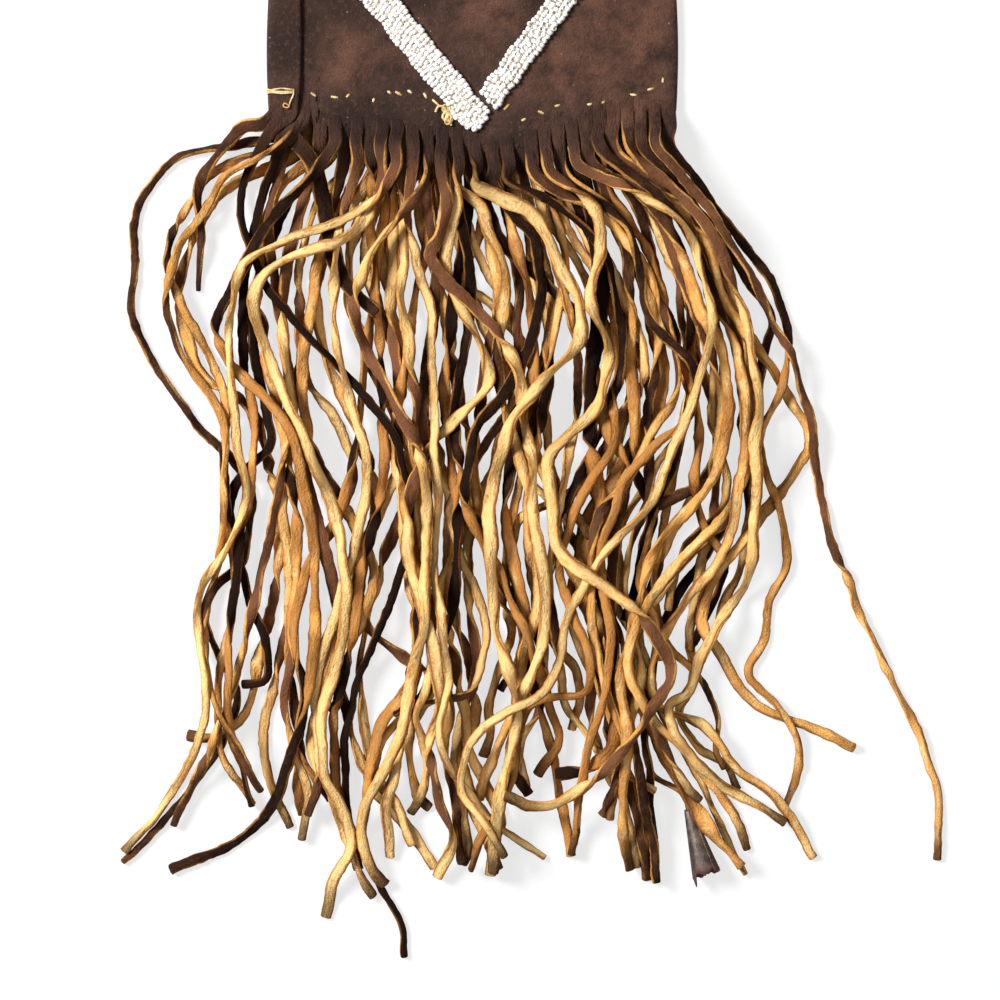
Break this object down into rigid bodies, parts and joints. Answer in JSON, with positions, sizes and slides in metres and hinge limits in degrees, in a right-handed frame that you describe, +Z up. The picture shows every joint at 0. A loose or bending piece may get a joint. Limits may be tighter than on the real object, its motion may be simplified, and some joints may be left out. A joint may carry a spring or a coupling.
{
  "type": "beaded pipe bag",
  "caption": "Long flat hide pouch, open at the top, with a V of white seed beads, a sewn lower seam and a long cut fringe of twisting thongs, one with a tin cone.",
  "frame": {"origin": "on the surface the bag lies on, under the middle of the pouch, fringe left out", "axes": "+Z up out of the beaded front, +Y along the pouch to its open mouth, +X to the folded edge"},
  "size_m": [0.3308, 0.6813, 0.0221],
  "materials": {
    "hide": "matte dark brown suede",
    "thong": "matte suede, dark grain side and golden flesh side",
    "sinew": "dull pale yellow thread",
    "beads": "glossy opaque white glass",
    "tin": "dull grey sheet metal with rust at the rim"
  },
  "bodies": {
    "root": {"back_thong_1": "thong", "back_thong_10": "thong", "back_thong_11": "thong", "back_thong_12": "thong", "back_thong_13": "thong", "back_thong_14": "thong", "back_thong_15": "thong", "back_thong_16": "thong", "back_thong_17": "thong", "back_thong_18": "thong", "back_thong_19": "thong", "back_thong_2": "thong", "back_thong_20": "thong", "back_thong_21": "thong", "back_thong_22": "thong", "back_thong_23": "thong", "back_thong_24": "thong", "back_thong_25": "thong", "back_thong_3": "thong", "back_thong_4": "thong", "back_thong_5": "thong", "back_thong_6": "thong", "back_thong_7": "thong", "back_thong_8": "thong", "back_thong_9": "thong", "bead_band_left": "beads", "bead_band_right": "beads", "bead_thread_knot": "sinew", "bottom_seam_thread": "sinew", "corner_lashing": "sinew", "front_thong_1": "thong", "front_thong_10": "thong", "front_thong_11": "thong", "front_thong_12": "thong", "front_thong_13": "thong", "front_thong_14": "thong", "front_thong_15": "thong", "front_thong_16": "thong", "front_thong_17": "thong", "front_thong_18": "thong", "front_thong_19": "thong", "front_thong_2": "thong", "front_thong_20": "thong", "front_thong_21": "thong", "front_thong_22": "thong", "front_thong_23": "thong", "front_thong_24": "thong", "front_thong_25": "thong", "front_thong_3": "thong", "front_thong_4": "thong", "front_thong_5": "thong", "front_thong_6": "thong", "front_thong_7": "thong", "front_thong_8": "thong", "front_thong_9": "thong", "hide_pouch": "hide", "side_seam_thread": "sinew", "tin_cone": "tin"}
  },
  "joints": []
}
